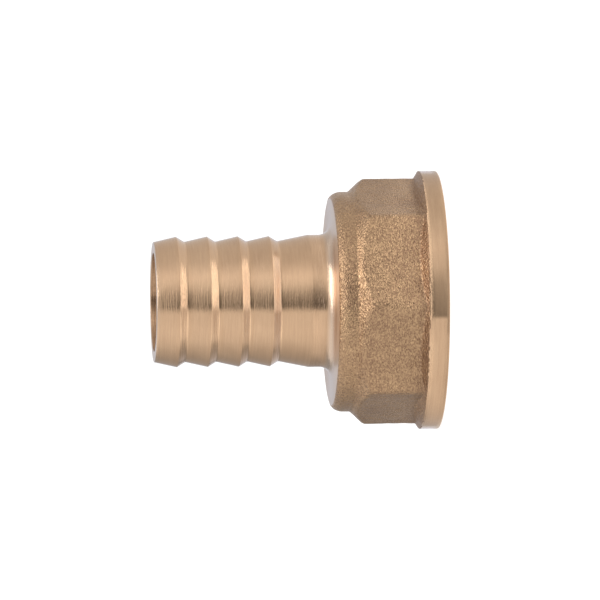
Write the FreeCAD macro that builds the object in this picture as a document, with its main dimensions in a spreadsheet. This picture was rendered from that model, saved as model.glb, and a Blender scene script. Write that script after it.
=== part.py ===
"""Hose nipple with a female pipe thread, cast and then turned from one piece of brass.

An octagon nut with a round flange at its open end holds the socket, into which a male G 3/4
fitting screws until it meets a flat seat. A low hub, a plain neck and four sawtooth barbs for a
16 mm hose stand on the nut, and a waterway runs right through.

Frame: millimetres, +Z along the axis, from the socket's mouth to the tip of the barbs. The origin
is the centre of the flange's end face, on which the piece stands. Two of the flats face +X and +Y.

The socket is bored to the thread's minor diameter. The thread's own ridges are not cut here.
"""

import FreeCAD, Part
import math
import os

import Sketcher

# The driving dimensions, in millimetres, degrees and counts.
SIZES = {
    "thread_major_diameter": 26.441,
    "thread_depth": 1.162,
    "thread_lead_in": 0.2,
    "socket_depth": 11.6,
    "web_thickness": 2.5,
    "nut_wall": 1.78,
    "flat_count": 8,
    "nut_corner_radius": 1.0,
    "nut_shoulder_angle": 43.5,
    "nut_shoulder_radius": 0.6,
    "flange_overhang": 0.784,
    "flange_rim_width": 2.36,
    "flange_rim_break": 0.15,
    "flange_back_angle": 52.0,
    "hub_step": 0.5,
    "hub_length": 2.46,
    "hub_edge_radius": 1.7,
    "hub_facing_cut": 0.3,
    "waterway_diameter": 13.0,
    "seat_break": 0.5,
    "tail_wall": 1.42,
    "neck_step": 0.13,
    "neck_length": 2.97,
    "neck_root_radius": 1.2,
    "ramp_length": 4.01,
    "barb_height": 0.68,
    "barb_pitch": 4.08,
    "barb_back_length": 1.1,
    "barb_count": 4,
    "tip_break": 0.15,
}

# Radii that follow from the sizes. The nut is sized round the thread, and the tail round the waterway.
ZERO = "0"
THREAD_RADIUS = "sizes.thread_major_diameter / 2"
SOCKET_RADIUS = f"{THREAD_RADIUS} - sizes.thread_depth"
HALF_FLATS = f"{THREAD_RADIUS} + sizes.nut_wall"
HALF_SIDE = "180 / sizes.flat_count"
CORNER_RADIUS = f"({HALF_FLATS}) / cos({HALF_SIDE})"
CORNER_CLEAR = f"{CORNER_RADIUS} + sizes.nut_corner_radius"
FLANGE_RADIUS = f"{CORNER_RADIUS} + sizes.flange_overhang"
HUB_RADIUS = f"{HALF_FLATS} - sizes.hub_step"
HUB_CLEAR = f"{HUB_RADIUS} + sizes.hub_edge_radius"
WATERWAY_RADIUS = "sizes.waterway_diameter / 2"
ROOT_RADIUS = f"{WATERWAY_RADIUS} + sizes.tail_wall"
CREST_RADIUS = f"{ROOT_RADIUS} + sizes.barb_height"
NECK_RADIUS = f"{CREST_RADIUS} + sizes.neck_step"
MOUTH_CHAMFER = "sizes.thread_depth + sizes.thread_lead_in"

# Heights over the flange's end face that follow from the sizes.
RIM_TOP = "sizes.flange_rim_width"
FLANGE_BACK_TOP = f"{RIM_TOP} + ({FLANGE_RADIUS} - ({SOCKET_RADIUS})) / tan(sizes.flange_back_angle)"
SEAT = "sizes.socket_depth"
HUB_TOP = f"{SEAT} + sizes.web_thickness"
CAST_TOP = f"{HUB_TOP} + sizes.hub_facing_cut"
NUT_TOP = f"{HUB_TOP} - sizes.hub_length"
SHOULDER_FOOT = f"{NUT_TOP} - ({CORNER_CLEAR} - ({HUB_RADIUS})) / tan(sizes.nut_shoulder_angle)"
NECK_TOP = f"{HUB_TOP} + sizes.neck_length"
BARBS_FOOT = f"{NECK_TOP} + sizes.ramp_length"
FIRST_CREST = f"{BARBS_FOOT} + sizes.barb_back_length"
FIRST_BARB_TOP = f"{BARBS_FOOT} + sizes.barb_pitch"
TIP = f"{BARBS_FOOT} + sizes.barb_pitch * sizes.barb_count"

ADDING = ("PartDesign::Pad", "PartDesign::Revolution", "PartDesign::LinearPattern")
CUTTING = ("PartDesign::Pocket", "PartDesign::Groove", "PartDesign::Chamfer")
TOLERANCE = 1e-4

doc = FreeCAD.newDocument("hose_nipple")


def make_sheet():
    """Writes every driving dimension to a cell that has the dimension's name as its alias."""
    sizes = doc.addObject("Spreadsheet::Sheet", "sizes")
    for row, (name, size) in enumerate(SIZES.items(), start=1):
        sizes.set(f"A{row}", name)
        sizes.set(f"B{row}", str(size))
        sizes.setAlias(f"B{row}", name)
    doc.recompute()
    return sizes


sheet = make_sheet()
body = doc.addObject("PartDesign::Body", "body")
body.Label = "hose_nipple"
body.Placement = FreeCAD.Placement()


def size_of(expression):
    """Works out an expression of the sheet's sizes, in millimetres."""
    return float(sheet.evalExpression(expression))


def origin_part(role):
    """Finds a plane or an axis of the body's origin."""
    return next(part for part in body.Origin.OriginFeatures if part.Role == role)


def new_sketch(name, plane):
    """Attaches an empty sketch to one of the body's origin planes."""
    sketch = body.newObject("Sketcher::SketchObject", name)
    sketch.AttachmentSupport = [(origin_part(plane), "")]
    sketch.MapMode = "FlatFace"
    return sketch


def bind(sketch, kind, *terms, expression):
    """Adds a dimension to a sketch and ties it to the sheet."""
    number = sketch.addConstraint(Sketcher.Constraint(kind, *terms, size_of(expression)))
    sketch.setExpression(f"Constraints[{number}]", expression)


def place_corner(sketch, line, across, up):
    """Ties a line's first end to its two distances from the sketch's origin."""
    for kind, axis, distance in (("DistanceX", -2, across), ("DistanceY", -1, up)):
        if distance == ZERO:
            sketch.addConstraint(Sketcher.Constraint("PointOnObject", line, 1, axis))
        else:
            bind(sketch, kind, -1, 1, line, 1, expression=distance)


def draw_outline(name, corners, plane="XZ_Plane"):
    """Draws a closed outline of straight lines from its corners' distances."""
    sketch = new_sketch(name, plane)
    points = [FreeCAD.Vector(size_of(across), size_of(up), 0) for across, up in corners]
    for start, end in zip(points, points[1:] + points[:1]):
        sketch.addGeometry(Part.LineSegment(start, end))
    for line, (across, up) in enumerate(corners):
        line_before = (line - 1) % len(corners)
        sketch.addConstraint(Sketcher.Constraint("Coincident", line_before, 2, line, 1))
        place_corner(sketch, line, across, up)
    return sketch


def draw_circle(name, radius):
    """Draws a circle round the axis, on the plane of the flange's end face."""
    sketch = new_sketch(name, "XY_Plane")
    up = FreeCAD.Vector(0, 0, 1)
    sketch.addGeometry(Part.Circle(FreeCAD.Vector(0, 0, 0), up, size_of(radius)))
    sketch.addConstraint(Sketcher.Constraint("Coincident", 0, 3, -1, 1))
    bind(sketch, "Radius", 0, expression=radius)
    return sketch


def settle(feature):
    """Rebuilds the model, and stops if a feature that adds or cuts left the solid as it was."""
    doc.recompute()
    base = feature.BaseFeature
    change = feature.Shape.Volume - (base.Shape.Volume if base else 0.0)
    adds_nothing = feature.TypeId in ADDING and change <= TOLERANCE
    cuts_nothing = feature.TypeId in CUTTING and change >= -TOLERANCE
    if adds_nothing or cuts_nothing:
        raise RuntimeError(f"{feature.Name} changed nothing")


def extrude(kind, name, sketch, length):
    """Pads or pockets a sketch upwards from the flange's end face."""
    feature = body.newObject(f"PartDesign::{kind}", name)
    feature.Profile = sketch
    feature.setExpression("Length", length)
    feature.Reversed = kind == "Pocket"
    settle(feature)


def turn(kind, name, corners):
    """Spins an outline once round the axis, as a revolution that adds or a groove that cuts."""
    sketch = draw_outline(f"{name}_outline", corners)
    feature = body.newObject(f"PartDesign::{kind}", name)
    feature.Profile = sketch
    feature.ReferenceAxis = (sketch, ["V_Axis"])
    feature.Angle = 360
    settle(feature)
    return feature


def pick_edges(wanted):
    """Names the edges of the body as it stands that a test picks out."""
    edges = enumerate(body.Tip.Shape.Edges, start=1)
    names = [f"Edge{number}" for number, edge in edges if wanted(edge)]
    if not names:
        raise RuntimeError(f"no edge found on {body.Tip.Name}")
    return (body.Tip, names)


def dress(kind, name, wanted, expression):
    """Fillets or chamfers the edges that a test picks out."""
    edges = pick_edges(wanted)
    feature = body.newObject(f"PartDesign::{kind}", name)
    feature.Base = edges
    feature.setExpression("Radius" if kind == "Fillet" else "Size", expression)
    settle(feature)


def ring(radius, height):
    """Makes the test for a circle round the axis, of one radius and at one height."""
    def wanted(edge):
        if not isinstance(edge.Curve, Part.Circle):
            return False
        same_radius = math.isclose(edge.Curve.Radius, size_of(radius), abs_tol=TOLERANCE)
        return same_radius and math.isclose(edge.Curve.Center.z, size_of(height), abs_tol=TOLERANCE)
    return wanted


def upright(distance):
    """Makes the test for straight edges along the axis, at one distance from it."""
    def wanted(edge):
        middle = edge.CenterOfMass
        is_upright = abs(edge.tangentAt(edge.FirstParameter).z) > 1 - TOLERANCE
        reach = math.hypot(middle.x, middle.y)
        return is_upright and math.isclose(reach, size_of(distance), abs_tol=TOLERANCE)
    return wanted


def shoulder_curves(edge):
    """Picks out the curves where the shoulder's cone cuts the nut's sides and corners."""
    is_curve = not isinstance(edge.Curve, (Part.Line, Part.Circle))
    box = edge.BoundBox
    return is_curve and box.ZMin > size_of(SHOULDER_FOOT) and box.ZMax < size_of(NUT_TOP)


def make_nut():
    """Makes the octagon, and the cone that takes its upper corners down."""
    angles = [f"{HALF_SIDE} * {2 * corner + 1}" for corner in range(SIZES["flat_count"])]
    corners = [(f"{CORNER_RADIUS} * cos({angle})", f"{CORNER_RADIUS} * sin({angle})") for angle in angles]
    extrude("Pad", "nut", draw_outline("nut_outline", corners, "XY_Plane"), NUT_TOP)
    turn("Groove", "nut_shoulder", [
        (HUB_RADIUS, NUT_TOP),
        (CORNER_CLEAR, NUT_TOP),
        (CORNER_CLEAR, SHOULDER_FOOT),
    ])


def make_flange():
    """Adds the round flange: a turned rim, and a cast cone behind it that runs into the flats."""
    turn("Revolution", "flange", [
        (ZERO, ZERO),
        (FLANGE_RADIUS, ZERO),
        (FLANGE_RADIUS, RIM_TOP),
        (SOCKET_RADIUS, FLANGE_BACK_TOP),
        (ZERO, FLANGE_BACK_TOP),
    ])


def make_hub():
    """Adds the cast hub, rounded over, and faces its top flat, which leaves a sharp edge."""
    extrude("Pad", "hub", draw_circle("hub_outline", HUB_RADIUS), CAST_TOP)
    dress("Fillet", "hub_edge", ring(HUB_RADIUS, CAST_TOP), "sizes.hub_edge_radius")
    turn("Groove", "hub_facing", [
        (ZERO, HUB_TOP),
        (HUB_CLEAR, HUB_TOP),
        (HUB_CLEAR, CAST_TOP),
        (ZERO, CAST_TOP),
    ])


def make_tail():
    """Turns the neck, on which the hose's end sits, and its taper down to the first barb."""
    turn("Revolution", "neck", [
        (ZERO, HUB_TOP),
        (NECK_RADIUS, HUB_TOP),
        (NECK_RADIUS, NECK_TOP),
        (ROOT_RADIUS, BARBS_FOOT),
        (ZERO, BARBS_FOOT),
    ])
    dress("Fillet", "neck_root", ring(NECK_RADIUS, HUB_TOP), "sizes.neck_root_radius")


def make_barbs():
    """Turns one barb, steep towards the nut and gentle towards the tip, and repeats it."""
    barb = turn("Revolution", "barb", [
        (ZERO, BARBS_FOOT),
        (ROOT_RADIUS, BARBS_FOOT),
        (CREST_RADIUS, FIRST_CREST),
        (ROOT_RADIUS, FIRST_BARB_TOP),
        (ZERO, FIRST_BARB_TOP),
    ])
    row = body.newObject("PartDesign::LinearPattern", "barb_row")
    row.Originals = [barb]
    row.Direction = (origin_part("Z_Axis"), [""])
    row.setExpression("Length", "sizes.barb_pitch * (sizes.barb_count - 1)")
    row.setExpression("Occurrences", "sizes.barb_count")
    body.Tip = row
    settle(row)


def bore():
    """Bores the socket up to its flat seat, and the waterway on through to the tip."""
    extrude("Pocket", "socket", draw_circle("socket_outline", SOCKET_RADIUS), SEAT)
    extrude("Pocket", "waterway", draw_circle("waterway_outline", WATERWAY_RADIUS), TIP)
    dress("Chamfer", "socket_mouth", ring(SOCKET_RADIUS, ZERO), MOUTH_CHAMFER)
    dress("Chamfer", "seat_edge", ring(WATERWAY_RADIUS, SEAT), "sizes.seat_break")


def break_edges():
    """Takes the sharp edges off the rim and off the tip, outside and in."""
    dress("Chamfer", "rim_edge", ring(FLANGE_RADIUS, ZERO), "sizes.flange_rim_break")
    dress("Chamfer", "tip_edge", ring(ROOT_RADIUS, TIP), "sizes.tip_break")
    dress("Chamfer", "tip_mouth", ring(WATERWAY_RADIUS, TIP), "sizes.tip_break")


def soften_nut():
    """Rounds the nut as its mould does, at its upright corners and along its shoulder."""
    dress("Fillet", "nut_corners", upright(CORNER_RADIUS), "sizes.nut_corner_radius")
    dress("Fillet", "nut_shoulder_edge", shoulder_curves, "sizes.nut_shoulder_radius")


def check_model():
    """Stops if a step failed, or if the body is not one sound solid."""
    failed = [item.Name for item in doc.Objects if {"Invalid", "Error"} & set(item.State)]
    if failed:
        raise RuntimeError(f"failed: {failed}")
    shape = body.Shape
    if shape.isNull() or not shape.isValid() or len(shape.Solids) != 1:
        raise RuntimeError(f"{body.Label} is not one sound solid")


make_nut()
make_flange()
make_hub()
make_tail()
make_barbs()
bore()
break_edges()
soften_nut()
doc.recompute()
check_model()

os.makedirs("parts", exist_ok=True)
body.Shape.exportStep(f"parts/{body.Label}.step")
print(f"{body.Label}: {body.Shape.Volume:.1f} cubic mm, {body.Shape.BoundBox.ZMax:.2f} mm long")
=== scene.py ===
# %% [markdown]
# # A brass hose nipple
#
# The nipple is one piece of brass. It is cast roughly to shape, and then a lathe turns the
# flange's rim, the hub's face, the barbs and the waterway, and a tap cuts the thread. The packed
# CAD part gives its place and its sizes. This scene makes the same form again as one fine mesh,
# with what the CAD leaves out: the soft edges and sandy skin of the casting, the tool's rings and
# the thread.

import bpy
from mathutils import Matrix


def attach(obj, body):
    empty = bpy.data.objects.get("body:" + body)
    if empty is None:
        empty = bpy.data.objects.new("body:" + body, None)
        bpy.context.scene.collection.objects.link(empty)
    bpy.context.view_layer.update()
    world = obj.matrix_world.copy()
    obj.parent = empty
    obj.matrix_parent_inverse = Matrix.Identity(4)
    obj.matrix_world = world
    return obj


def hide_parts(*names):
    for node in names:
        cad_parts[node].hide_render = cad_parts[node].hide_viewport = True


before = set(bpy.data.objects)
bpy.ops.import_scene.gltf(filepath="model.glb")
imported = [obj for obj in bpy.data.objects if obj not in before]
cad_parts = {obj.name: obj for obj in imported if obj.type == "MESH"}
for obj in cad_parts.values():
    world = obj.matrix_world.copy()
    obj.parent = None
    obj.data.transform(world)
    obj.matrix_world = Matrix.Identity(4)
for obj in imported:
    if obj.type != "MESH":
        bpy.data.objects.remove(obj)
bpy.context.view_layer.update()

# %% [markdown]
# ## The blank's outline
#
# All but the eight flats is round, so the nipple starts as half of its cross section: one outline
# that goes round the brass wall, up the outside from the socket's mouth to the tip and back down
# the waterway. It could be a curve. A bmesh face is used, because the bevel operator can then
# round each of its corners with a radius of its own, as a lathe tool or a mould does.
# The outside of the flange, the nut and the hub is one straight side here, and is pressed later.

# %% Outline sizes
import math

import bmesh
import bpy
import numpy as np
from mathutils import Matrix, Vector, noise

MM = 0.001
FLANGE_RADIUS = 17.02 * MM
CAST_FOOT = 1.8 * MM
FLATS_START, FLATS_END = 4.7 * MM, 9.0 * MM
HUB_RADIUS = 14.5 * MM
HUB_EDGE_RADIUS = 1.7 * MM
HUB_FACE_RADIUS = HUB_RADIUS - HUB_EDGE_RADIUS
HUB_FACE = 14.1 * MM
CAST_TOP = 14.4 * MM
CAST_SIDE_TOP = CAST_TOP - HUB_EDGE_RADIUS
NECK_RADIUS = 8.73 * MM
NECK_TOP = 17.07 * MM
BARB_ROOT_RADIUS = 7.92 * MM
BARB_CREST_RADIUS = 8.60 * MM
BARBS_START = 21.08 * MM
BARB_PITCH = 4.08 * MM
BARB_BACK = 1.1 * MM
BARB_COUNT = 4
TIP = 37.4 * MM
WATERWAY_RADIUS = 6.5 * MM
SEAT_BREAK = 0.5 * MM
SOCKET_RADIUS = 12.0585 * MM
SOCKET_DEPTH = 11.6 * MM
MOUTH_CHAMFER = 1.362 * MM
print(f"{TIP / MM:.1f} mm long, {2 * FLANGE_RADIUS / MM:.1f} mm across the flange")

# %% List the corners
corners = [
    # radius, height, rounding: the flange's end face and rim
    (SOCKET_RADIUS + MOUTH_CHAMFER, 0, 0.05 * MM),
    (FLANGE_RADIUS, 0, 0.15 * MM),
    # the cast side, which is pressed later
    (FLANGE_RADIUS, CAST_FOOT, 0),
    (FLANGE_RADIUS, FLATS_START, 0),
    (FLANGE_RADIUS, FLATS_END, 0),
    (FLANGE_RADIUS, CAST_SIDE_TOP - 0.1 * MM, 0),
    (HUB_RADIUS, CAST_SIDE_TOP - 0.05 * MM, 0),
    # the hub's cast edge, its turned face and the neck
    (HUB_RADIUS, CAST_TOP, HUB_EDGE_RADIUS),
    (HUB_FACE_RADIUS, CAST_TOP, 0),
    (HUB_FACE_RADIUS - 0.3 * MM, HUB_FACE, 0),
    (NECK_RADIUS, HUB_FACE, 1.5 * MM),
    (NECK_RADIUS, NECK_TOP, 0.5 * MM),
]
for barb in range(BARB_COUNT):
    foot = BARBS_START + barb * BARB_PITCH
    corners.append((BARB_ROOT_RADIUS, foot, 0.4 * MM))
    corners.append((BARB_CREST_RADIUS, foot + BARB_BACK, 0.07 * MM))
corners += [
    # the tip, the waterway, the seat and the socket
    (BARB_ROOT_RADIUS, TIP, 0.09 * MM),
    (WATERWAY_RADIUS, TIP, 0.06 * MM),
    (WATERWAY_RADIUS, SOCKET_DEPTH + SEAT_BREAK, 0),
    (WATERWAY_RADIUS + SEAT_BREAK, SOCKET_DEPTH, 0),
    (SOCKET_RADIUS, SOCKET_DEPTH, 0.25 * MM),
    (SOCKET_RADIUS, MOUTH_CHAMFER, 0.05 * MM),
]
print(len(corners), "corners in the outline")

# %% Draw the outline and round its corners
TOUCHING = 1e-6
ARC_STEP = 0.12 * MM
FEWEST_SEGMENTS, MOST_SEGMENTS = 3, 12


def round_corner(outline, vert, radius):
    """Rounds one corner of a flat face with an arc of a given radius."""
    sides = [edge.other_vert(vert).co - vert.co for edge in vert.link_edges]
    turn = math.pi - sides[0].angle(sides[1])
    segments = max(FEWEST_SEGMENTS, min(MOST_SEGMENTS, round(radius / ARC_STEP)))
    bmesh.ops.bevel(
        outline, geom=[vert], offset=radius * math.tan(turn / 2), offset_type="OFFSET",
        segments=segments, profile=0.5, affect="VERTICES", material=-1,
    )


blank = bmesh.new()
outline_verts = [blank.verts.new((radius, 0, height)) for radius, height, _ in corners]
blank.faces.new(outline_verts)
for vert, (_, _, rounding) in zip(outline_verts, corners):
    if rounding:
        round_corner(blank, vert, rounding)
bmesh.ops.remove_doubles(blank, verts=blank.verts, dist=TOUCHING)
print(len(blank.verts), "points after rounding")

# %% [markdown]
# ## Rows for the detail
#
# The skin of the casting needs many small faces, where the flats meet the shoulder and the flange,
# and the straight bore needs few. So each stretch of the outline is divided by its own spacing
# before it is spun. Rows that are close on the turned parts too keep their shading crisp at edges.

# %% Divide the outline into rows
FINE_ROWS = 0.125 * MM
WIDE_ROWS = 0.36 * MM
TURNED_ROWS = 0.48 * MM
BORE_ROWS = 3 * MM
MARGIN = 0.1 * MM


def row_spacing(radius, height):
    """Says how far apart the rows of a stretch of the outline are."""
    if radius > FLANGE_RADIUS - MARGIN and height > CAST_FOOT:
        return WIDE_ROWS if FLATS_START < height < FLATS_END else FINE_ROWS
    in_waterway = radius < WATERWAY_RADIUS + MARGIN
    in_socket = radius < SOCKET_RADIUS + MARGIN and height < SOCKET_DEPTH
    return BORE_ROWS if in_waterway or in_socket else TURNED_ROWS


for edge in list(blank.edges):
    middle = (edge.verts[0].co + edge.verts[1].co) / 2
    cuts = math.ceil(edge.calc_length() / row_spacing(middle.x, middle.z)) - 1
    if cuts > 0:
        bmesh.ops.subdivide_edges(blank, edges=[edge], cuts=cuts)
bmesh.ops.delete(blank, geom=list(blank.faces), context="FACES_ONLY")
print(len(blank.edges), "rows")

# %% [markdown]
# ## Spin the blank
#
# One full spin closes the outline to a round blank. Forty-eight steps for each flat are enough
# for round edges on the casting, and a whole number of them gives every flat the same mesh.

# %% Spin the outline
FLAT_COUNT = 8
SPIN_STEPS = 48 * FLAT_COUNT
bmesh.ops.spin(
    blank, geom=list(blank.verts) + list(blank.edges), cent=(0, 0, 0), axis=(0, 0, 1),
    dvec=(0, 0, 0), angle=math.tau, steps=SPIN_STEPS, use_merge=True, use_duplicate=False,
)
bmesh.ops.recalc_face_normals(blank, faces=blank.faces)
print(len(blank.faces), "faces in the blank")

# %% [markdown]
# ## Press the flats
#
# The mould gives the nut eight flats, a sloping shoulder up to the hub and a sloping back on the
# flange, with soft edges where they meet. Cutting with boxes and beveling the cuts would leave
# hard lines and uneven faces. Instead each point of the blank's side moves in along its own
# radius, to the smallest or largest of those surfaces, and a soft minimum rounds each edge as
# sand does.

# %% Soft edges between surfaces
def soft_min(first, second, blend):
    """Gives the smaller of two distances, rounded where they come within a blend of each other."""
    overlap = np.maximum(blend - np.abs(first - second), 0) / blend
    return np.minimum(first, second) - overlap**2 * blend / 4


def soft_max(first, second, blend):
    """Gives the larger of two distances, rounded in the same way."""
    return -soft_min(-first, -second, blend)


print("two equal surfaces are rounded by", soft_max(0, 0, 1.0), "of the blend")

# %% Work out how far out the casting's side lies
FLAT_TURN = math.tau / FLAT_COUNT
FLAT_DISTANCE = 15.06 * MM
NUT_TOP = 11.64 * MM
SHOULDER_SLOPE = math.tan(math.radians(43.5))
RIM_WIDTH = 2.36 * MM
FLANGE_SLOPE = math.tan(math.radians(58))
CORNER_BLEND = 0.5 * MM
SHOULDER_BLEND = 0.3 * MM
HUB_BLEND = 0.16 * MM
FLANGE_BLEND = 0.22 * MM


def cast_side(angle, height):
    """Gives the radius of the casting's side at an angle round the axis and at a height."""
    from_flat = np.abs((angle + FLAT_TURN / 2) % FLAT_TURN - FLAT_TURN / 2)
    flat = FLAT_DISTANCE / np.cos(from_flat)
    next_flat = FLAT_DISTANCE / np.cos(FLAT_TURN - from_flat)
    nut = soft_min(flat, next_flat, CORNER_BLEND)
    shoulder = HUB_RADIUS + (NUT_TOP - height) * SHOULDER_SLOPE
    nut = soft_min(nut, shoulder, SHOULDER_BLEND)
    nut = soft_max(nut, HUB_RADIUS, HUB_BLEND)
    flange_back = FLANGE_RADIUS + (RIM_WIDTH - height) * FLANGE_SLOPE
    return soft_max(nut, flange_back, FLANGE_BLEND)


print(f"a corner of the nut is {cast_side(FLAT_TURN / 2, FLATS_END) / MM:.2f} mm out")

# %% Press the side of the blank
def places_of(mesh):
    """Reads the place of every point of a bmesh."""
    return np.array([vert.co for vert in mesh.verts])


def radii_of(places):
    """Gives how far from the axis each place is."""
    return np.hypot(places[:, 0], places[:, 1])


def move_to(mesh, places):
    """Moves every point of a bmesh to a new place."""
    for vert, place in zip(mesh.verts, places):
        vert.co = place


places = places_of(blank)
radius = radii_of(places)
angle = np.arctan2(places[:, 1], places[:, 0])
height = places[:, 2]
on_side = (height > CAST_FOOT - TOUCHING) & (height < CAST_SIDE_TOP + TOUCHING)
on_side &= radius > HUB_RADIUS - TOUCHING
pressed = np.where(on_side, cast_side(angle, height), radius)
places[:, :2] *= (pressed / radius)[:, None]
move_to(blank, places)
blank.normal_update()
print(int(on_side.sum()), "points pressed")

# %% [markdown]
# ## The casting's unevenness and the lathe's cut
#
# Sand castings are never quite true: flats are a little wavy and edges wander. Every point of the
# cast skin moves along its normal by a few hundredths of a millimetre of smooth noise. The casting
# also sat half a millimetre off the lathe's centre, which the photograph shows at the flange: on
# one side a corner of the nut reaches the rim. Then the lathe comes: whatever stands over the
# rim's radius or over the hub's face is cut back to it, and a fine noise makes that border ragged.
# Moving the points gives all this on one closed mesh, which a cut with a second shape would have
# broken up.

# %% Find the cast skin
on_hub_edge = (height > CAST_SIDE_TOP) & (height < CAST_TOP + TOUCHING)
on_hub_edge &= (radius > HUB_FACE_RADIUS - 10 * TOUCHING) & (radius < HUB_RADIUS + TOUCHING)
is_cast = on_side | on_hub_edge
print(int(is_cast.sum()), "points of cast skin")

# %% Roughen the cast skin and move it off the centre
WAVE, WAVE_SCALE = 0.045 * MM, 260
DENT, DENT_SCALE = 0.035 * MM, 900
OFF_CENTRE = Vector((0.064, -0.466, 0)) * MM
FACE_FOLLOWS = 10.8 * MM


def unevenness(place):
    """Gives how far the cast skin stands out or in at a place."""
    return WAVE * noise.noise(place * WAVE_SCALE) + DENT * noise.noise(place * DENT_SCALE)


# The turned face of the hub follows the cast edge that it ends at, the more the nearer it is.
on_face = ~is_cast & (height > HUB_FACE - TOUCHING) & (radius > FACE_FOLLOWS)
follows = np.clip((radius - FACE_FOLLOWS) / (HUB_FACE_RADIUS - FACE_FOLLOWS), 0, 1)
follows = np.where(is_cast, 1, np.where(on_face, follows, 0))
for vert, cast_here, share in zip(blank.verts, is_cast, follows):
    if cast_here:
        vert.co += vert.normal * unevenness(vert.co)
    vert.co += OFF_CENTRE * float(share)
print(f"casting moved {OFF_CENTRE.length / MM:.2f} mm off the centre")

# %% Cut the rim and the hub's face
TEAR, TEAR_SCALE = 0.10 * MM, 3000
TURNED, CAST = 0, 1

places = places_of(blank)
radius = radii_of(places)
# The cut starts a quarter of a tear inside the rim's radius, so the turned rim is a little wide.
torn = np.array([TEAR * noise.noise(Vector(place) * TEAR_SCALE) for place in places])
rim_cut = is_cast & (radius > FLANGE_RADIUS - TEAR / 4 + torn)
face_cut = is_cast & (places[:, 2] > HUB_FACE)
places[rim_cut, :2] *= (FLANGE_RADIUS / radius[rim_cut])[:, None]
places[face_cut, 2] = HUB_FACE
move_to(blank, places)

still_cast = is_cast & ~rim_cut & ~face_cut
cast_points = {vert for vert, cast_here in zip(blank.verts, still_cast) if cast_here}
for face in blank.faces:
    face.material_index = CAST if any(vert in cast_points for vert in face.verts) else TURNED
bmesh.ops.remove_doubles(blank, verts=blank.verts, dist=TOUCHING)
print(sum(face.material_index == CAST for face in blank.faces), "faces stay cast")

# %% [markdown]
# ## The thread
#
# The socket has a G 3/4 pipe thread: 14 turns to the inch, with flanks at 27.5 degrees. A real tap
# cuts it, so a tap is made here too. One tooth's outline is spun with a small rise at each step,
# which winds it to a helix, and the turns are merged, cut square and capped. Its nose is ground to
# a cone, so the thread fades out before the seat. A Boolean then takes it out of the blank.

# %% Draw one tooth of the tap
PITCH = 25.4 * MM / 14
THREAD_MAJOR = 13.2205 * MM
TAP_CORE = 12.02 * MM
HALF_FLAT = 0.15 * MM
BREAK_DEPTH, BREAK_OUT, BREAK_IN = 0.13 * MM, 0.03 * MM, 0.09 * MM

tooth = [
    (TAP_CORE, -PITCH / 2),
    (TAP_CORE, HALF_FLAT - PITCH / 2),
    (THREAD_MAJOR - BREAK_DEPTH, -HALF_FLAT - BREAK_OUT),
    (THREAD_MAJOR, -HALF_FLAT + BREAK_IN),
    (THREAD_MAJOR, HALF_FLAT - BREAK_IN),
    (THREAD_MAJOR - BREAK_DEPTH, HALF_FLAT + BREAK_OUT),
    (TAP_CORE, PITCH / 2 - HALF_FLAT),
    (TAP_CORE, PITCH / 2),
]
print(f"thread of {PITCH / MM:.3f} mm pitch, {2 * THREAD_MAJOR / MM:.2f} mm across its roots")

# %% Wind the tap
STEPS_PER_TURN = 120
TAP_TURNS = 8

tap = bmesh.new()
tooth_verts = [tap.verts.new((out, 0, up - PITCH)) for out, up in tooth]
tooth_edges = [tap.edges.new(pair) for pair in zip(tooth_verts, tooth_verts[1:])]
bmesh.ops.spin(
    tap, geom=tooth_verts + tooth_edges, cent=(0, 0, 0), axis=(0, 0, 1),
    dvec=(0, 0, PITCH / STEPS_PER_TURN), angle=math.tau * TAP_TURNS,
    steps=STEPS_PER_TURN * TAP_TURNS, use_merge=False, use_duplicate=False,
)
bmesh.ops.remove_doubles(tap, verts=tap.verts, dist=2 * TOUCHING)
print(len(tap.faces), "faces in the wound tap")

# %% Cut the tap to length, grind its nose and cap it
TAP_END = -0.6 * MM
NOSE_START, NOSE_END = 9.4 * MM, 11.2 * MM

for end, facing in ((TAP_END, -1), (NOSE_END, 1)):
    bmesh.ops.bisect_plane(
        tap, geom=list(tap.verts) + list(tap.edges) + list(tap.faces), dist=1e-7,
        plane_co=(0, 0, end), plane_no=(0, 0, facing), clear_outer=True,
    )
places = places_of(tap)
radius = radii_of(places)
into_nose = np.clip((places[:, 2] - NOSE_START) / (NOSE_END - NOSE_START), 0, 1)
ground = np.minimum(radius, THREAD_MAJOR - into_nose * (THREAD_MAJOR - TAP_CORE))
places[:, :2] *= (ground / radius)[:, None]
move_to(tap, places)
open_edges = [edge for edge in tap.edges if edge.is_boundary]
bmesh.ops.holes_fill(tap, edges=open_edges, sides=0)
bmesh.ops.recalc_face_normals(tap, faces=tap.faces)
print("tap is closed:", all(edge.is_manifold for edge in tap.edges))

# %% Put the blank and the tap in the scene
def make_object(shape, name):
    """Puts a finished bmesh in the scene as an object at the origin."""
    mesh = bpy.data.meshes.new(name)
    shape.to_mesh(mesh)
    shape.free()
    thing = bpy.data.objects.new(name, mesh)
    bpy.context.scene.collection.objects.link(thing)
    return thing


nipple = make_object(blank, "brass_nipple")
turned = bpy.data.materials.new("turned_brass")
cast = bpy.data.materials.new("cast_brass")
nipple.data.materials.append(turned)
nipple.data.materials.append(cast)
cutter = make_object(tap, "tap")
print("blank and tap are", len(nipple.data.polygons), "and", len(cutter.data.polygons), "faces")

# %% Cut the thread
cut = nipple.modifiers.new("thread", "BOOLEAN")
cut.object = cutter
cut.operation = "DIFFERENCE"
cut.solver = "MANIFOLD"
cut_nipple = nipple.evaluated_get(bpy.context.evaluated_depsgraph_get())
threaded = bpy.data.meshes.new_from_object(cut_nipple)
nipple.modifiers.clear()
nipple.data = threaded
bpy.data.objects.remove(cutter)
print(len(threaded.polygons), "faces with the thread")

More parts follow.
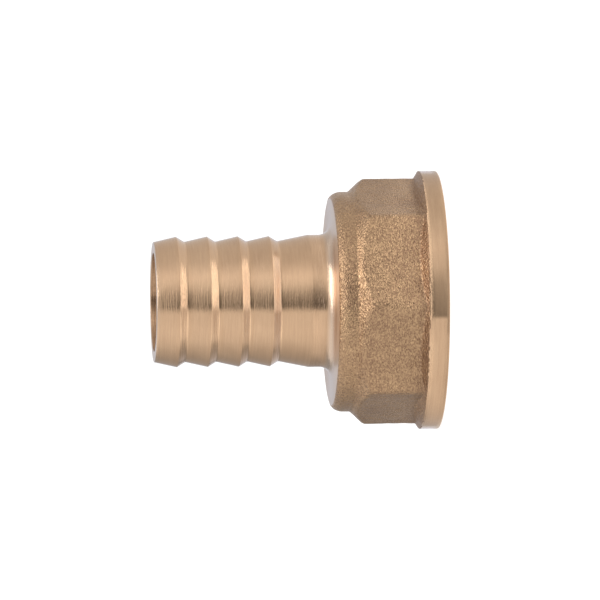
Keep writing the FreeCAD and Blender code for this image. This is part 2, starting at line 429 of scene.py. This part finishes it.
# %% Merge the points that the cut left touching
merged = bmesh.new()
merged.from_mesh(threaded)
bmesh.ops.remove_doubles(merged, verts=merged.verts, dist=TOUCHING)
print("nipple is closed:", all(edge.is_manifold for edge in merged.edges))
merged.to_mesh(threaded)
merged.free()
print(sum(len(face.vertices) - 2 for face in threaded.polygons), "triangles")

# %% [markdown]
# ## Smooth faces and sharp edges
#
# Turned edges are crisp and cast ones are soft. So all faces are shaded smooth, and only steep
# edges and the border between cast and turned brass stay sharp.

# %% Shade it smooth between its sharp edges
SHARP_ANGLE = math.radians(33)
threaded.shade_smooth()
threaded.set_sharp_from_angle(angle=SHARP_ANGLE)
materials_at = {}
for face in threaded.polygons:
    for key in face.edge_keys:
        materials_at.setdefault(key, set()).add(face.material_index)
for edge in threaded.edges:
    if len(materials_at[edge.key]) == 2:
        edge.use_edge_sharp = True
print(sum(edge.use_edge_sharp for edge in threaded.edges), "sharp edges")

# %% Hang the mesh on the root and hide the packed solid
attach(nipple, "root")
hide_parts("hose_nipple")
print(nipple.name, "takes the place of the packed solid")

# %% [markdown]
# ## Turned brass
#
# A lathe leaves rings round the axis, finer than the eye can part, so light stretches along the
# axis and stays sharp round it. The shader's anisotropy does the fine rings: its tangent runs
# round the axis, and a quarter turn lays the stretch along it. The coarser rings that can be seen
# are a bump made of noise that changes fast along the outline and slowly round the axis, with
# stronger streaks of colour on the rim. Faces that look up were cut by the tool's side and are
# rougher. Their colour is painted greyer, a painted highlight that pales their reflections. The
# waterway is painted darker, as painted shade.

# %% Helpers that add nodes
def plug(tree, node, inputs):
    """Gives a node's sockets values or links."""
    for socket, value in inputs.items():
        if isinstance(value, bpy.types.NodeSocket):
            tree.links.new(value, node.inputs[socket])
        else:
            node.inputs[socket].default_value = value


def add_node(tree, kind, inputs=None, **settings):
    """Adds a node, sets its own properties and fills its sockets."""
    node = tree.nodes.new(kind)
    for name, value in settings.items():
        setattr(node, name, value)
    plug(tree, node, inputs or {})
    return node


def start_nodes(material):
    """Gives a material nodes, and gives back its node tree and its shader."""
    material.use_nodes = True
    return material.node_tree, material.node_tree.nodes["Principled BSDF"]


# %% Helpers for numbers and places
def work_out(tree, operation, *terms):
    """Works out a sum, a product or the like, and gives back its result."""
    return add_node(tree, "ShaderNodeMath", dict(enumerate(terms)), operation=operation).outputs[0]


def map_range(tree, value, start, end, low=0, high=1):
    """Maps a value's range from start to end to one from low to high, and stops at its ends."""
    return add_node(tree, "ShaderNodeMapRange", {
        "Value": value, "From Min": start, "From Max": end, "To Min": low, "To Max": high,
    }).outputs[0]


def place_on_object(tree):
    """Gives the place on the object, and a list of its parts along X, Y and Z."""
    here = add_node(tree, "ShaderNodeTexCoord").outputs["Object"]
    return here, list(add_node(tree, "ShaderNodeSeparateXYZ", {0: here}).outputs)


def distance_out(tree, parts):
    """Gives the distance from the axis."""
    flat_place = add_node(tree, "ShaderNodeCombineXYZ", {0: parts[0], 1: parts[1]})
    return add_node(
        tree, "ShaderNodeVectorMath", {0: flat_place.outputs[0]}, operation="LENGTH"
    ).outputs["Value"]


# %% Helpers for patterns, bumps and colours
def noise_at(tree, place, scale, detail, roughness=0.5):
    """Gives the level of a smooth noise."""
    return add_node(tree, "ShaderNodeTexNoise", {
        "Vector": place, "Scale": scale, "Detail": detail, "Roughness": roughness,
    }).outputs["Fac"]


def bump_from(tree, level, depth):
    """Gives the normal of a surface that a pattern raises by up to a depth."""
    return add_node(
        tree, "ShaderNodeBump", {"Strength": 1, "Distance": depth, "Height": level}
    ).outputs[0]


def mix_colours(tree, share, first, second):
    """Mixes two colours by a share."""
    return add_node(
        tree, "ShaderNodeMix", {0: share, 6: first, 7: second}, data_type="RGBA"
    ).outputs[2]


# %% Lay the lathe's rings on the turned brass
RING_SCALE = 4500
RING_DEPTH = 0.034 * MM
ROUND_SHARE = 0.06

tree, shader = start_nodes(turned)
here, parts = place_on_object(tree)
out = distance_out(tree, parts)
slowly_round = work_out(
    tree, "MULTIPLY", work_out(tree, "ADD", parts[0], parts[1]), ROUND_SHARE
)
along = add_node(
    tree, "ShaderNodeCombineXYZ", {0: out, 1: parts[2], 2: slowly_round}
).outputs[0]
rings = noise_at(tree, along, RING_SCALE, 3, 0.65)
ring_bump = bump_from(tree, rings, RING_DEPTH)
print(len(tree.nodes), "nodes for the rings")

# %% Colour the rings, with streaks at the rim
DARK_RING = (0.575, 0.368, 0.226, 1)
BRIGHT_RING = (0.705, 0.472, 0.294, 1)
STREAK_SCALE, PATCH_SCALE = 2000, 180

at_rim = map_range(tree, out, 16.6 * MM, 16.9 * MM, high=0.7)
streaks = work_out(tree, "SUBTRACT", noise_at(tree, along, STREAK_SCALE, 2), 0.5)
streaks = work_out(tree, "MULTIPLY", streaks, at_rim)
patches = noise_at(tree, here, PATCH_SCALE, 2)
brightness = work_out(tree, "MULTIPLY_ADD", rings, 0.8, patches)
brightness = work_out(tree, "ADD", brightness, streaks)
tint = mix_colours(tree, map_range(tree, brightness, 0.5, 1.3), DARK_RING, BRIGHT_RING)
print(len(tree.nodes), "nodes with the rings' colour")

# %% Paint a highlight on what faces up and shade in the waterway; finish the turned brass
# The grey is a painted highlight on what faces up; the dark brass is painted shade in the
# waterway.
PAINTED_HIGHLIGHT_GREY = (0.50, 0.44, 0.39, 1)
PAINTED_BORE_SHADE = (0.30, 0.17, 0.10, 1)

normal = add_node(tree, "ShaderNodeNewGeometry").outputs["Normal"]
faces_up = add_node(tree, "ShaderNodeSeparateXYZ", {0: normal}).outputs[2]
# Painted highlight: what faces up is mixed towards grey brass, so its reflections look paler.
tint = mix_colours(tree, map_range(tree, faces_up, 0.2, 0.6, high=0.5), tint, PAINTED_HIGHLIGHT_GREY)
# Painted shade: the waterway's wall is mixed towards a dark brass.
painted_bore_shade = map_range(tree, out, 6.6 * MM, 6.52 * MM, high=0.5)
tint = mix_colours(tree, painted_bore_shade, tint, PAINTED_BORE_SHADE)
coarser = map_range(tree, faces_up, 0.6, 0.85, high=0.16)
roughness = work_out(tree, "ADD", map_range(tree, rings, 0.3, 0.7, 0.15, 0.21), coarser)
round_axis = add_node(tree, "ShaderNodeTangent", direction_type="RADIAL", axis="Z").outputs[0]
plug(tree, shader, {
    "Base Color": tint, "Metallic": 1, "Roughness": roughness, "Normal": ring_bump,
    "Tangent": round_axis, "Anisotropic": 0.7, "Anisotropic Rotation": 0.25,
})
print(len(tree.nodes), "nodes in the turned brass")

# %% [markdown]
# ## Cast brass
#
# The casting's skin copies grains of sand a third of a millimetre across, and shot cleaning has
# brightened their tops. Noise and a cell pattern of that size make the grain as a bump; a finer
# one would only look like a rough surface from this far. The noise also darkens the pits and
# smooths the tops, so single grains sparkle. Wide patches are darker. Towards the root of the
# flange the brass is darker and rougher: painted shade in the corner.

# %% Raise the sand grain
GRAIN_SCALE, CELL_SCALE = 3500, 3600
CELL_SHARE = -0.7
GRAIN_DEPTH = 0.095 * MM
FLATTEN = (1, 1, 1.6)

tree, shader = start_nodes(cast)
here, parts = place_on_object(tree)
flattened = add_node(
    tree, "ShaderNodeVectorMath", {0: here, 1: FLATTEN}, operation="MULTIPLY"
).outputs[0]
grain = noise_at(tree, flattened, GRAIN_SCALE, 1)
cells = add_node(
    tree, "ShaderNodeTexVoronoi", {"Vector": flattened, "Scale": CELL_SCALE}, feature="F1"
).outputs["Distance"]
skin = work_out(tree, "MULTIPLY_ADD", cells, CELL_SHARE, grain)
skin_bump = bump_from(tree, skin, GRAIN_DEPTH)
print(len(tree.nodes), "nodes for the grain")

# %% Colour the sand grain
PIT_BRASS = (0.280, 0.168, 0.102, 1)
SHOT_BRASS = (0.58, 0.377, 0.211, 1)
WIDE_PATCH_SCALE = 250

patches = noise_at(tree, here, WIDE_PATCH_SCALE, 2)
brightness = work_out(tree, "MULTIPLY_ADD", patches, 0.35, grain)
# Painted shade: the casting is darkened and roughened towards the root of the flange.
painted_root_shade = map_range(tree, parts[2], 4.2 * MM, 3.2 * MM, high=0.14)
brightness = work_out(tree, "SUBTRACT", brightness, painted_root_shade)
share = map_range(tree, brightness, 0.48, 1.02)
plug(tree, shader, {
    "Base Color": mix_colours(tree, share, PIT_BRASS, SHOT_BRASS), "Metallic": 1,
    "Roughness": map_range(tree, share, 0, 1, 0.38, 0.25), "Normal": skin_bump,
})
print(len(tree.nodes), "nodes in the cast brass")

# %% [markdown]
# ## The floor
#
# The nipple stands on a plain white floor. Its own white comes from the paint and from a soft glow
# that only the camera, mirror and glass rays see, so the paint alone takes light and shadow.

# %% Lay the floor
FLOOR_REACH = 6
PAPER_PAINT = (0.4, 0.4, 0.4, 1)
PAPER_GLOW = 0.72
WHITE = (1, 1, 1, 1)

floor_shape = bmesh.new()
bmesh.ops.create_grid(floor_shape, x_segments=1, y_segments=1, size=FLOOR_REACH)
floor = make_object(floor_shape, "floor")
paper = bpy.data.materials.new("white_paper")
tree, shader = start_nodes(paper)
ray = add_node(tree, "ShaderNodeLightPath").outputs
seen = work_out(tree, "MAXIMUM", ray["Is Camera Ray"], ray["Is Glossy Ray"])
seen = work_out(tree, "MAXIMUM", seen, ray["Is Transmission Ray"])
plug(tree, shader, {
    "Base Color": PAPER_PAINT, "Roughness": 0.9, "Specular IOR Level": 0,
    "Emission Color": WHITE, "Emission Strength": work_out(tree, "MULTIPLY", seen, PAPER_GLOW),
})
floor.data.materials.append(paper)
print("floor of", 2 * FLOOR_REACH, "by", 2 * FLOOR_REACH, "metres")

# %% [markdown]
# ## The camera
#
# The photograph shows the nipple lying across the frame with its tip to the left, though it stands
# here on its flange. So the camera lies on its side: the axis runs across the picture. It is far
# off with a long lens, and a little above the level of the nipple.

# %% Place the camera
CAMERA_TURN = math.radians(24.7)
CAMERA_RISE = math.radians(4.81)
CAMERA_ROLL = math.radians(-0.5)
CAMERA_DISTANCE = 804.1 * MM
AIM = Vector((0.13 * MM, 0, 18.06 * MM))
SENSOR_WIDTH = 36
FOCAL_PIXELS, PICTURE_PIXELS = 6100, 600

looking = Vector((0, math.cos(CAMERA_RISE), -math.sin(CAMERA_RISE)))
picture_right = -Vector((0, math.sin(CAMERA_RISE), math.cos(CAMERA_RISE)))
on_its_side = Matrix((picture_right, (1, 0, 0), -looking)).transposed()
roll = Matrix.Rotation(CAMERA_ROLL, 3, "Z")
turn = Matrix.Rotation(CAMERA_TURN, 3, "Z")
camera_data = bpy.data.cameras.new("camera")
camera_data.sensor_width = SENSOR_WIDTH
camera_data.lens = SENSOR_WIDTH * FOCAL_PIXELS / PICTURE_PIXELS
camera_data.clip_start, camera_data.clip_end = 0.01, 20
camera = bpy.data.objects.new("camera", camera_data)
bpy.context.scene.collection.objects.link(camera)
camera.matrix_world = Matrix.Translation(turn @ (AIM - CAMERA_DISTANCE * looking)) @ (
    turn @ on_its_side @ roll
).to_4x4()
bpy.context.scene.camera = camera
print("camera at", [round(place, 3) for place in camera.location])

# %% [markdown]
# ## The light
#
# Metal shows what stands around it, so the photograph's bands of light and dark come from a round
# tent of cloth. Its wall and floor glow evenly on the side of the white table and brightly on the
# other, and are dim in front, where the camera looked in. A low collar does the same for the rim,
# which sees only what is near. Lamps would give spots and not bands. So each is a line spun to a
# ring, with a glow that changes by the bearing. Only mirrored rays see the tent: it is hidden from
# the camera and throws no light or shadow on the floor.

# %% Stand rings of cloth
CARD_LIFT = 0.05 * MM
RING_STEPS = 128


def stand_ring(name, cloth, first, last, start=0, sweep=360):
    """Spins a line between two places, each a radius and a height, to a ring or a part of one."""
    shape = bmesh.new()
    to_start = Matrix.Rotation(math.radians(start), 3, "Z")
    ends = [shape.verts.new(to_start @ Vector((out, 0, up))) for out, up in (first, last)]
    bmesh.ops.spin(
        shape, geom=ends + [shape.edges.new(ends)], cent=(0, 0, 0), axis=(0, 0, 1),
        dvec=(0, 0, 0), angle=math.radians(sweep), steps=RING_STEPS, use_merge=sweep == 360,
        use_duplicate=False,
    )
    ring = make_object(shape, name)
    ring.rotation_euler.z = CAMERA_TURN
    ring.visible_camera = False
    ring.visible_diffuse = False
    ring.visible_shadow = False
    ring.data.materials.append(cloth)
    print(name, "stands", round(first[0] / MM, 2), "to", round(last[0] / MM, 2), "mm out")


# %% Make a cloth whose glow changes round the ring
STRONGEST_GLOW = 2.5
COOL, NEUTRAL = (0.95, 1.00, 1.12), (1, 1, 1)
COOL_FROM = 174


def bearing_on(tree, seen_from):
    """Gives the bearing from the camera, towards its left, as the nipple sees it.

    A card near the nipple is seen from its side and not from its axis, at a wider bearing.
    """
    _, parts = place_on_object(tree)
    left = work_out(tree, "MULTIPLY", parts[0], -1.0)
    front = work_out(tree, "MULTIPLY", parts[1], -1.0)
    bearing = work_out(tree, "ARCTAN2", left, front)
    out = distance_out(tree, parts)
    beyond = work_out(tree, "SUBTRACT", out, seen_from / 2)
    return work_out(tree, "MULTIPLY", bearing, work_out(tree, "DIVIDE", out, beyond))


def glowing_cloth(name, glow_levels, seen_from=0, one_sided=False):
    """Makes a material with a glow that is listed by the bearing in degrees."""
    material = bpy.data.materials.new(name)
    tree, shader = start_nodes(material)
    tree.nodes.remove(shader)
    around = map_range(tree, bearing_on(tree, seen_from), -math.pi, math.pi)
    levels = add_node(tree, "ShaderNodeValToRGB", {"Fac": around})
    ramp = levels.color_ramp
    while len(ramp.elements) < len(glow_levels):
        ramp.elements.new(0.5)
    for element, (degrees, level) in zip(ramp.elements, glow_levels):
        element.position = (degrees + 180) / 360
        hue = COOL if abs(degrees) >= COOL_FROM else NEUTRAL
        element.color = [level / STRONGEST_GLOW * share for share in hue] + [1]
    glow = add_node(tree, "ShaderNodeEmission", {
        "Color": levels.outputs["Color"], "Strength": STRONGEST_GLOW,
    }).outputs[0]
    if one_sided:
        from_behind = add_node(tree, "ShaderNodeNewGeometry").outputs["Backfacing"]
        clear = add_node(tree, "ShaderNodeBsdfTransparent").outputs[0]
        glow = add_node(
            tree, "ShaderNodeMixShader", {0: from_behind, 1: glow, 2: clear}
        ).outputs[0]
    plug(tree, tree.nodes["Material Output"], {"Surface": glow})
    return material


# %% Stand the tent's wall and floor
TENT_RADIUS = 0.25
TENT_HEIGHT = 0.15
NEAR_RADIUS = 90 * MM
FOOT_CARD_RADIUS = 31 * MM

wall_cloth = glowing_cloth("wall_cloth", [
    # degrees from the camera towards its left, glow
    (-180, 0.80), (-174, 0.80), (-166, 0.68), (-110, 0.72), (-80, 0.77), (-62, 0.94),
    (-46, 1.12), (-30, 0.92), (-14, 0.46), (5, 0.21), (15, 0.16), (16, 0.92), (60, 0.98),
    (80, 0.90), (105, 0.68), (135, 0.48), (166, 0.42), (174, 0.80), (180, 0.80),
], seen_from=FLANGE_RADIUS)
stand_ring("tent_wall", wall_cloth, (TENT_RADIUS, CARD_LIFT), (TENT_RADIUS, TENT_HEIGHT))

ground_cloth = glowing_cloth("ground_cloth", [
    (-180, 0.80), (-174, 0.80), (-166, 0.80), (-110, 0.90), (-80, 0.80), (-62, 0.78),
    (-46, 0.84), (-30, 0.56), (-14, 0.22), (5, 0.11), (15, 0.09), (16, 0.94), (60, 1.08),
    (80, 0.90), (105, 0.90), (135, 0.36), (166, 0.34), (174, 0.80), (180, 0.80),
], seen_from=FLANGE_RADIUS)
stand_ring("tent_floor", ground_cloth, (NEAR_RADIUS, CARD_LIFT), (TENT_RADIUS, CARD_LIFT))

near_cloth = glowing_cloth("near_cloth", [
    (-180, 0.80), (-166, 0.80), (-110, 0.90), (-80, 0.80), (-46, 0.84), (-30, 0.56),
    (-14, 0.27), (15, 0.12), (16, 1.00), (40, 1.45), (80, 1.4), (105, 1.0), (135, 0.36),
    (180, 0.80),
], seen_from=FLANGE_RADIUS)
stand_ring("near_floor", near_cloth, (FOOT_CARD_RADIUS, CARD_LIFT), (NEAR_RADIUS, CARD_LIFT))

# %% Stand a low collar for the rim to mirror
COLLAR_RADIUS = 18.5 * MM
COLLAR_HEIGHT = 1.9 * MM

collar_cloth = glowing_cloth("collar_cloth", [
    (-180, 0.80), (-174, 0.80), (-166, 0.62), (-110, 0.67), (-80, 0.72), (-62, 0.85),
    (-46, 0.96), (-30, 0.82), (-14, 0.52), (5, 0.39), (15, 0.33), (16, 0.92), (60, 0.92),
    (80, 0.95), (105, 0.90), (135, 0.74), (166, 0.54), (174, 0.80), (180, 0.80),
], seen_from=FLANGE_RADIUS)
stand_ring("collar", collar_cloth, (COLLAR_RADIUS, CARD_LIFT), (COLLAR_RADIUS, COLLAR_HEIGHT))

# %% [markdown]
# ## Bright cards
#
# The backs of the barbs slope down and mirror the foot and the hub, where the photograph's table
# was bright. Lamps there would light the floor too. So a card lies round the foot, with a dimmer
# one close to the rim, and two low ones lie over the hub's face, which are clear from behind.

# %% Lay cards round the foot
foot_cloth = glowing_cloth("foot_cloth", [
    (-180, 0.8), (-110, 0.9), (-90, 2.1), (8, 2.1), (16, 0.85), (90, 0.8), (130, 0.5),
    (180, 0.8),
])
stand_ring("foot_card", foot_cloth, (COLLAR_RADIUS, CARD_LIFT), (FOOT_CARD_RADIUS, CARD_LIFT))

rim_cloth = glowing_cloth("rim_cloth", [
    (-180, 0.7), (-110, 0.6), (-80, 0.65), (-50, 0.8), (-30, 0.75), (-14, 0.6), (15, 0.5),
    (16, 0.72), (80, 0.72), (105, 0.66), (135, 0.5), (166, 0.4), (180, 0.7),
])
stand_ring(
    "rim_card", rim_cloth, (FLANGE_RADIUS + 0.03 * MM, CARD_LIFT), (COLLAR_RADIUS, CARD_LIFT),
)

# %% Lay cards on the hub
HUB_CARD_INNER = (10.9 * MM, HUB_FACE + 0.15 * MM)
HUB_CARD_OUTER = (13.2 * MM, HUB_FACE + 0.35 * MM)

for name, level, start, sweep in (("hub_card", 1.4, -106, 96), ("low_hub_card", 0.86, -200, 94)):
    cloth = glowing_cloth(f"{name}_cloth", [(-180, level), (180, level)], one_sided=True)
    stand_ring(name, cloth, HUB_CARD_INNER, HUB_CARD_OUTER, start, sweep)

# %% [markdown]
# ## Soft box and sky
#
# One soft box high on the camera's right lights the roundings of the casting and the root of the
# neck, as the photographer's lamp did. A plain sky fills in the rest. It could be a picture of a
# studio, but two soft round patches are enough: a little dimmer behind and brighter on the left.

# %% Hang the soft box
def towards(bearing, rise):
    """Gives a direction from its bearing from the camera, towards its left, and its rise."""
    bearing = CAMERA_TURN - math.radians(bearing)
    rise = math.radians(rise)
    return Vector((
        math.sin(bearing) * math.cos(rise), -math.cos(bearing) * math.cos(rise), math.sin(rise)
    ))


KEY_DISTANCE = 0.5
key_lamp = bpy.data.lights.new("soft_box", "AREA")
key_lamp.size = 0.39
key_lamp.energy = 1.15
key = bpy.data.objects.new("soft_box", key_lamp)
bpy.context.scene.collection.objects.link(key)
towards_key = towards(-48, 67)
key.location = KEY_DISTANCE * towards_key
key.rotation_euler = towards_key.to_track_quat("Z", "Y").to_euler()
print("soft box at", [round(place, 3) for place in key.location])

# %% Set the sky
SKY_STRENGTH = 0.95

world = bpy.data.worlds.new("studio")
world.use_nodes = True
bpy.context.scene.world = world
tree = world.node_tree


def sky_patch(side, first, last, change):
    """Gives the change that a soft round patch on one side makes to the sky's strength."""
    sky_place = add_node(tree, "ShaderNodeTexCoord").outputs["Generated"]
    nearness = add_node(
        tree, "ShaderNodeVectorMath", {0: sky_place, 1: side}, operation="DOT_PRODUCT"
    ).outputs["Value"]
    return map_range(tree, nearness, first, last, high=change)


dim = sky_patch(towards(-165, 66), 0.78, 0.96, -0.35)
bright = sky_patch(towards(100, 45), 0.6, 0.95, 0.25)
strength = work_out(tree, "ADD", work_out(tree, "ADD", dim, bright), SKY_STRENGTH)
plug(tree, tree.nodes["Background"], {"Color": WHITE, "Strength": strength})
bpy.context.scene.view_settings.view_transform = "Standard"
print(len(tree.nodes), "nodes in the sky")
